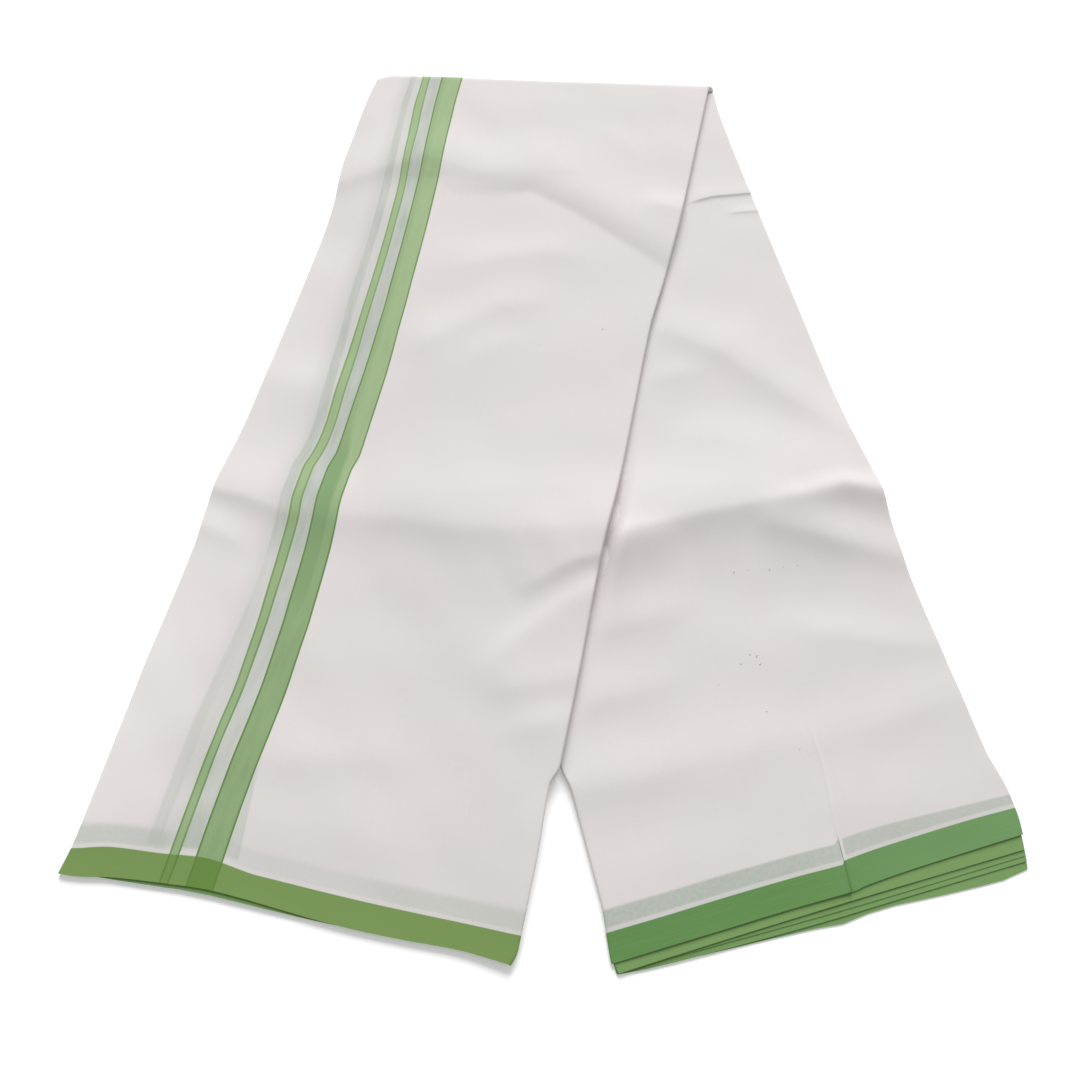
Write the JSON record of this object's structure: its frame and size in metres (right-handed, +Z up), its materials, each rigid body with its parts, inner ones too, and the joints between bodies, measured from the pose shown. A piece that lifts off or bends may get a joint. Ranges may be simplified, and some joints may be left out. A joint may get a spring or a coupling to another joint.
{
  "type": "folded dhoti cloth",
  "caption": "White cotton dhoti cloth pressed into a strip and folded once across into a V, with green selvedge hems and green stripes down one leg.",
  "frame": {"origin": "middle of the base of the folded cloth's box, on the surface it lies on", "axes": "+Z up from the surface, +Y from the hems towards the cross fold, +X across towards the rear leg's side"},
  "size_m": [0.5524, 0.6632, 0.0127],
  "materials": {
    "white_cotton": "matt plain-weave cotton, white, with woven green selvedges and cross stripes"
  },
  "bodies": {
    "root": {"front_face": "white_cotton", "front_layers": "white_cotton", "rear_face": "white_cotton", "rear_second_layer": "white_cotton", "rear_layers": "white_cotton"}
  },
  "joints": []
}
